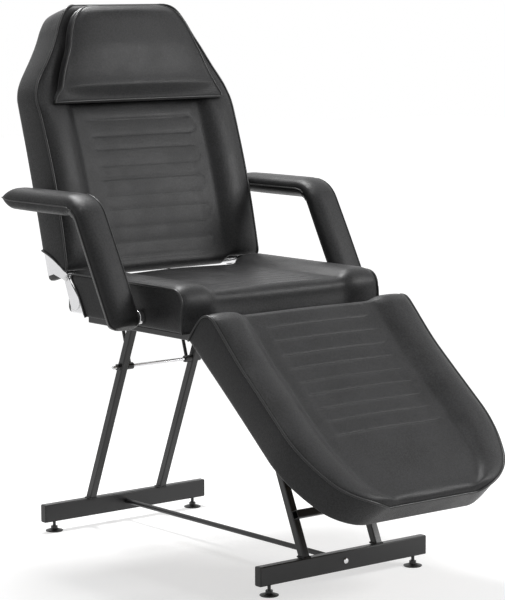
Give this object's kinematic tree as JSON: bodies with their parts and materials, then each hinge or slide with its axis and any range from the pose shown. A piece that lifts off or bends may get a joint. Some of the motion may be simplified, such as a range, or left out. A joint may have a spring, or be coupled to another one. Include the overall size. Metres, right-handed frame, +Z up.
{
  "type": "beauty bed",
  "caption": "Reclining padded beauty bed: fixed seat, hinged back and leg rest held by rack props, armrests and head pillow on a welded steel base.",
  "frame": {"origin": "on the floor, under the middle of the bounding box", "axes": "+Z up, +X towards the foot end, +Y towards the sitter's left hand; left and right in names are as seen from the foot end, so left is -Y"},
  "size_m": [1.2682, 0.805, 1.3314],
  "materials": {
    "leather": "soft semi-gloss black synthetic leather with a fine grain",
    "black_steel": "satin black powder coat",
    "chrome": "bright plated steel",
    "steel": "zinc plated steel",
    "black_plastic": "moulded black plastic",
    "plywood": "plywood under a black dust cloth"
  },
  "bodies": {
    "base": {"armrest_flange_left": "chrome", "armrest_flange_right": "chrome", "armrest_left": "leather", "armrest_right": "leather", "back_axle_nut_left": "black_steel", "back_axle_nut_right": "black_steel", "back_hinge_pin_left": "steel", "back_hinge_pin_right": "steel", "back_prop_axle": "chrome", "front_brace_bar": "black_steel", "front_crossbar": "black_steel", "front_crossbar_plug_left": "black_plastic", "front_crossbar_plug_right": "black_plastic", "front_leg_left": "black_steel", "front_leg_right": "black_steel", "leg_axle_nut_left": "black_steel", "leg_axle_nut_right": "black_steel", "leg_hinge_pin_left": "steel", "leg_hinge_pin_right": "steel", "leg_prop_axle": "chrome", "rear_crossbar": "black_steel", "rear_crossbar_plug_left": "black_plastic", "rear_crossbar_plug_right": "black_plastic", "rear_leg_left": "black_steel", "rear_leg_right": "black_steel", "seat_board": "plywood", "seat_cross_tube_front": "black_steel", "seat_cross_tube_rear": "black_steel", "seat_cushion": "leather", "seat_rail_left": "black_steel", "seat_rail_right": "black_steel", "seat_side_tube_left": "chrome", "seat_side_tube_right": "chrome", "seat_tube_plug_left": "black_plastic", "seat_tube_plug_right": "black_plastic", "stretcher_bolt_front": "chrome", "stretcher_bolt_rear": "chrome", "stretcher_tube": "black_steel"},
    "back": {"back_board": "plywood", "back_cushion": "leather", "head_pillow": "leather", "back_rack": "black_steel", "back_side_tube_left": "chrome", "back_side_tube_right": "chrome", "back_tube_plug_left": "black_plastic", "back_tube_plug_right": "black_plastic", "back_cross_tube": "chrome"},
    "leg_rest": {"leg_board": "plywood", "leg_cushion": "leather", "leg_rack": "black_steel", "leg_hinge_arm_left": "black_steel", "leg_hinge_arm_right": "black_steel"},
    "back_prop_body": {"back_prop": "black_steel"},
    "leg_prop_body": {"leg_prop": "black_steel"},
    "front_foot_left_body": {"front_foot_left": "black_plastic"},
    "front_foot_right_body": {"front_foot_right": "black_plastic"},
    "rear_foot_left_body": {"rear_foot_left": "black_plastic"},
    "rear_foot_right_body": {"rear_foot_right": "black_plastic"}
  },
  "joints": [
    {"name": "back_recline", "type": "hinge", "parent": "base", "child": "back", "pos_m": [-0.37769, 0, 0.67], "axis": [0, -1, 0], "range_deg": [0, 74]},
    {"name": "leg_raise", "type": "hinge", "parent": "base", "child": "leg_rest", "pos_m": [0.08431, 0, 0.5722], "axis": [0, -1, 0], "range_deg": [0, 40]},
    {"name": "back_prop_swing", "type": "hinge", "parent": "base", "child": "back_prop_body", "pos_m": [-0.39484, 0, 0.432], "axis": [0, -1, 0], "range_deg": [0, 45.5]},
    {"name": "leg_prop_swing", "type": "hinge", "parent": "base", "child": "leg_prop_body", "pos_m": [0.19636, 0, 0.33], "axis": [0, -1, 0], "range_deg": [0, 76.1]},
    {"name": "front_foot_left_height", "type": "slide", "parent": "base", "child": "front_foot_left_body", "axis": [0, 0, -1], "range_m": [-0.01, 0.008]},
    {"name": "front_foot_right_height", "type": "slide", "parent": "base", "child": "front_foot_right_body", "axis": [0, 0, -1], "range_m": [-0.01, 0.008]},
    {"name": "rear_foot_left_height", "type": "slide", "parent": "base", "child": "rear_foot_left_body", "axis": [0, 0, -1], "range_m": [-0.01, 0.008]},
    {"name": "rear_foot_right_height", "type": "slide", "parent": "base", "child": "rear_foot_right_body", "axis": [0, 0, -1], "range_m": [-0.01, 0.008]}
  ],
  "couplings": [
    {"joint": "back_prop_swing", "follows": "back_recline", "ratio": 0.61367},
    {"joint": "leg_prop_swing", "follows": "leg_raise", "ratio": 1.9011}
  ]
}
